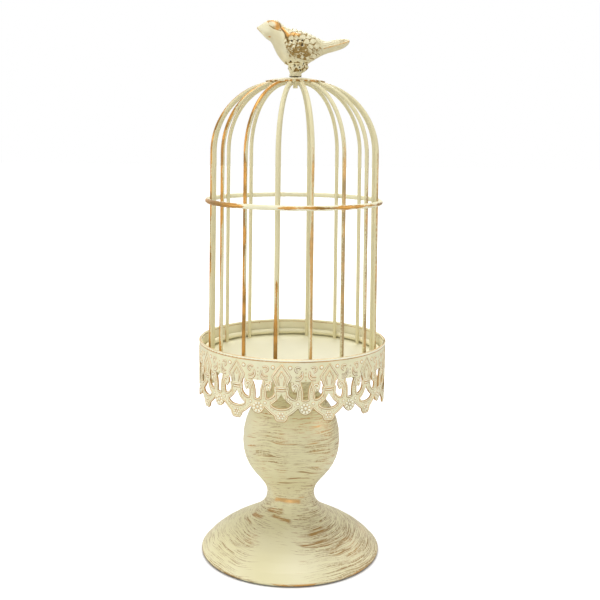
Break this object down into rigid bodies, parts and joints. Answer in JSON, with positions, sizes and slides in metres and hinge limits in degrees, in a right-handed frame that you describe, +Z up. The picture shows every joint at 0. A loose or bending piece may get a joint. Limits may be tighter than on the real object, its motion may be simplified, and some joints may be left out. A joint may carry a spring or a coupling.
{
  "type": "birdcage centrepiece stand",
  "caption": "Footed metal stand with a pierced skirt round its tray and a domed wire birdcage that lifts off, topped by a cast bird that turns on its stud.",
  "frame": {"origin": "on the floor, in the middle of the foot's pad", "axes": "+Z up along the axis of foot, bulb, tray and cage; the bird looks along -X; -Y is the front"},
  "size_m": [0.125, 0.125, 0.3566],
  "materials": {
    "pad": "matt felt-like pad",
    "pedestal_paint": "satin ivory paint, dry-brushed with gold brown round the turning",
    "tray_paint": "satin ivory paint",
    "skirt_paint": "satin ivory paint with worn gold-brown edges",
    "bare_steel": "zinc-plated",
    "hoop_paint": "ivory paint, heavily brushed with gold brown",
    "low_hoop_paint": "ivory paint",
    "wire_paint": "ivory paint with gold-brown streaks along the wire",
    "crown_paint": "ivory paint",
    "bird_paint": "ivory paint, gold-brown wear on the high places",
    "stud_steel": "over-sprayed ivory"
  },
  "bodies": {
    "stand": {"base_pad": "pad", "foot_shell": "pedestal_paint", "bulb_shell": "pedestal_paint", "tray_pan": "tray_paint", "skirt_band": "skirt_paint", "tie_rod": "bare_steel", "tie_washer": "bare_steel", "tie_nut": "bare_steel"},
    "cage": {"middle_hoop": "hoop_paint", "bottom_hoop": "low_hoop_paint", "crown_disc": "crown_paint", "cage_wire_01": "wire_paint", "cage_wire_02": "wire_paint", "cage_wire_03": "wire_paint", "cage_wire_04": "wire_paint", "cage_wire_05": "wire_paint", "cage_wire_06": "wire_paint", "cage_wire_07": "wire_paint", "cage_wire_08": "wire_paint", "cage_wire_09": "wire_paint", "cage_wire_10": "wire_paint", "cage_wire_11": "wire_paint", "cage_wire_12": "wire_paint", "cage_wire_13": "wire_paint", "cage_wire_14": "wire_paint", "cage_wire_15": "wire_paint", "cage_wire_16": "wire_paint"},
    "finial": {"bird_finial": "bird_paint", "finial_stud": "stud_steel", "finial_washer": "stud_steel", "finial_nut": "stud_steel"}
  },
  "joints": [
    {"name": "cage_lift", "type": "slide", "parent": "stand", "child": "cage", "axis": [0, 0, 1], "range_m": [0, 0.2]},
    {"name": "bird_turn", "type": "hinge", "parent": "cage", "child": "finial", "pos_m": [0, 0, 0.32], "axis": [0, 0, 1], "continuous": true}
  ]
}
